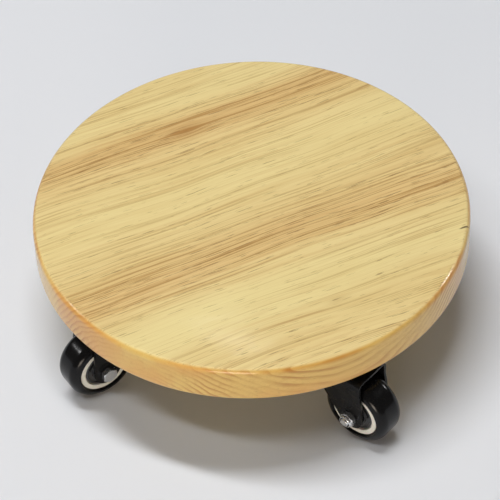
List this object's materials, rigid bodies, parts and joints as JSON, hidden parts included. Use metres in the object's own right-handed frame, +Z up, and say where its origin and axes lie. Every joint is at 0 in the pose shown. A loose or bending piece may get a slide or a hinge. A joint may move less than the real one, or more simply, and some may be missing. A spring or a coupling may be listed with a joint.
{
  "type": "plant pot caddy",
  "caption": "Round wooden board on swivel plate casters that carries a heavy plant pot and lets it be rolled about the floor.",
  "frame": {"origin": "on the floor, under the centre of the round board", "axes": "+Z up; +X to the right and -Y towards the viewer as pictured"},
  "size_m": [0.3, 0.3, 0.098],
  "materials": {
    "pine_wood": "pale pine-like wood under clear semi-gloss lacquer",
    "black_paint": "gloss black coated pressed steel",
    "zinc_steel": "bright zinc plated steel",
    "bearing_steel": "bright bearing steel",
    "black_polyurethane": "smooth semi-gloss black polyurethane tread",
    "cream_plastic": "moulded off-white plastic",
    "black_plastic": "moulded black plastic"
  },
  "bodies": {
    "deck": {"board": "pine_wood", "top_plate_front_left": "black_paint", "kingpin_front_left": "zinc_steel", "screw_front_left_1": "zinc_steel", "screw_front_left_2": "zinc_steel", "screw_front_left_3": "zinc_steel", "screw_front_left_4": "zinc_steel", "top_plate_front_right": "black_paint", "kingpin_front_right": "zinc_steel", "screw_front_right_1": "zinc_steel", "screw_front_right_2": "zinc_steel", "screw_front_right_3": "zinc_steel", "screw_front_right_4": "zinc_steel", "top_plate_back_right": "black_paint", "kingpin_back_right": "zinc_steel", "screw_back_right_1": "zinc_steel", "screw_back_right_2": "zinc_steel", "screw_back_right_3": "zinc_steel", "screw_back_right_4": "zinc_steel", "top_plate_back_left": "black_paint", "kingpin_back_left": "zinc_steel", "screw_back_left_1": "zinc_steel", "screw_back_left_2": "zinc_steel", "screw_back_left_3": "zinc_steel", "screw_back_left_4": "zinc_steel"},
    "swivel_fork_front_left": {"fork_front_left": "black_paint", "axle_bolt_front_left": "zinc_steel", "lock_nut_front_left": "zinc_steel"},
    "balls_front_left": {"ball_ring_front_left": "bearing_steel"},
    "wheel_front_left": {"tyre_front_left": "black_polyurethane", "wheel_core_front_left": "cream_plastic", "bearing_bush_front_left_head_side": "black_plastic", "bearing_bush_front_left_nut_side": "black_plastic"},
    "swivel_fork_front_right": {"fork_front_right": "black_paint", "axle_bolt_front_right": "zinc_steel", "lock_nut_front_right": "zinc_steel"},
    "balls_front_right": {"ball_ring_front_right": "bearing_steel"},
    "wheel_front_right": {"tyre_front_right": "black_polyurethane", "wheel_core_front_right": "cream_plastic", "bearing_bush_front_right_head_side": "black_plastic", "bearing_bush_front_right_nut_side": "black_plastic"},
    "swivel_fork_back_right": {"fork_back_right": "black_paint", "axle_bolt_back_right": "zinc_steel", "lock_nut_back_right": "zinc_steel"},
    "balls_back_right": {"ball_ring_back_right": "bearing_steel"},
    "wheel_back_right": {"tyre_back_right": "black_polyurethane", "wheel_core_back_right": "cream_plastic", "bearing_bush_back_right_head_side": "black_plastic", "bearing_bush_back_right_nut_side": "black_plastic"},
    "swivel_fork_back_left": {"fork_back_left": "black_paint", "axle_bolt_back_left": "zinc_steel", "lock_nut_back_left": "zinc_steel"},
    "balls_back_left": {"ball_ring_back_left": "bearing_steel"},
    "wheel_back_left": {"tyre_back_left": "black_polyurethane", "wheel_core_back_left": "cream_plastic", "bearing_bush_back_left_head_side": "black_plastic", "bearing_bush_back_left_nut_side": "black_plastic"}
  },
  "joints": [
    {"name": "swivel_front_left", "type": "hinge", "parent": "deck", "child": "swivel_fork_front_left", "pos_m": [-0.09541, -0.05962, 0.06], "axis": [0, 0, 1], "continuous": true},
    {"name": "balls_roll_front_left", "type": "hinge", "parent": "deck", "child": "balls_front_left", "pos_m": [-0.09541, -0.05962, 0.0629], "axis": [0, 0, 1], "continuous": true},
    {"name": "wheel_roll_front_left", "type": "hinge", "parent": "swivel_fork_front_left", "child": "wheel_front_left", "pos_m": [-0.11025, -0.06889, 0.0254], "axis": [0.5299, -0.848, 0], "continuous": true},
    {"name": "swivel_front_right", "type": "hinge", "parent": "deck", "child": "swivel_fork_front_right", "pos_m": [0.05704, -0.10728, 0.06], "axis": [0, 0, 1], "continuous": true},
    {"name": "balls_roll_front_right", "type": "hinge", "parent": "deck", "child": "balls_front_right", "pos_m": [0.05704, -0.10728, 0.0629], "axis": [0, 0, 1], "continuous": true},
    {"name": "wheel_roll_front_right", "type": "hinge", "parent": "swivel_fork_front_right", "child": "wheel_front_right", "pos_m": [0.07025, -0.11876, 0.0254], "axis": [0.6561, 0.7547, 0], "continuous": true},
    {"name": "swivel_back_right", "type": "hinge", "parent": "deck", "child": "swivel_fork_back_right", "pos_m": [0.09541, 0.05962, 0.06], "axis": [0, 0, 1], "continuous": true},
    {"name": "balls_roll_back_right", "type": "hinge", "parent": "deck", "child": "balls_back_right", "pos_m": [0.09541, 0.05962, 0.0629], "axis": [0, 0, 1], "continuous": true},
    {"name": "wheel_roll_back_right", "type": "hinge", "parent": "swivel_fork_back_right", "child": "wheel_back_right", "pos_m": [0.10308, 0.07534, 0.0254], "axis": [-0.8988, 0.4384, 0], "continuous": true},
    {"name": "swivel_back_left", "type": "hinge", "parent": "deck", "child": "swivel_fork_back_left", "pos_m": [-0.05704, 0.10728, 0.06], "axis": [0, 0, 1], "continuous": true},
    {"name": "balls_roll_back_left", "type": "hinge", "parent": "deck", "child": "balls_back_left", "pos_m": [-0.05704, 0.10728, 0.0629], "axis": [0, 0, 1], "continuous": true},
    {"name": "wheel_roll_back_left", "type": "hinge", "parent": "swivel_fork_back_left", "child": "wheel_back_left", "pos_m": [-0.07327, 0.11383, 0.0254], "axis": [-0.3746, -0.9272, 0], "continuous": true}
  ],
  "couplings": [
    {"joint": "balls_roll_front_left", "follows": "swivel_front_left", "ratio": 0.5},
    {"joint": "balls_roll_front_right", "follows": "swivel_front_right", "ratio": 0.5},
    {"joint": "balls_roll_back_right", "follows": "swivel_back_right", "ratio": 0.5},
    {"joint": "balls_roll_back_left", "follows": "swivel_back_left", "ratio": 0.5}
  ]
}
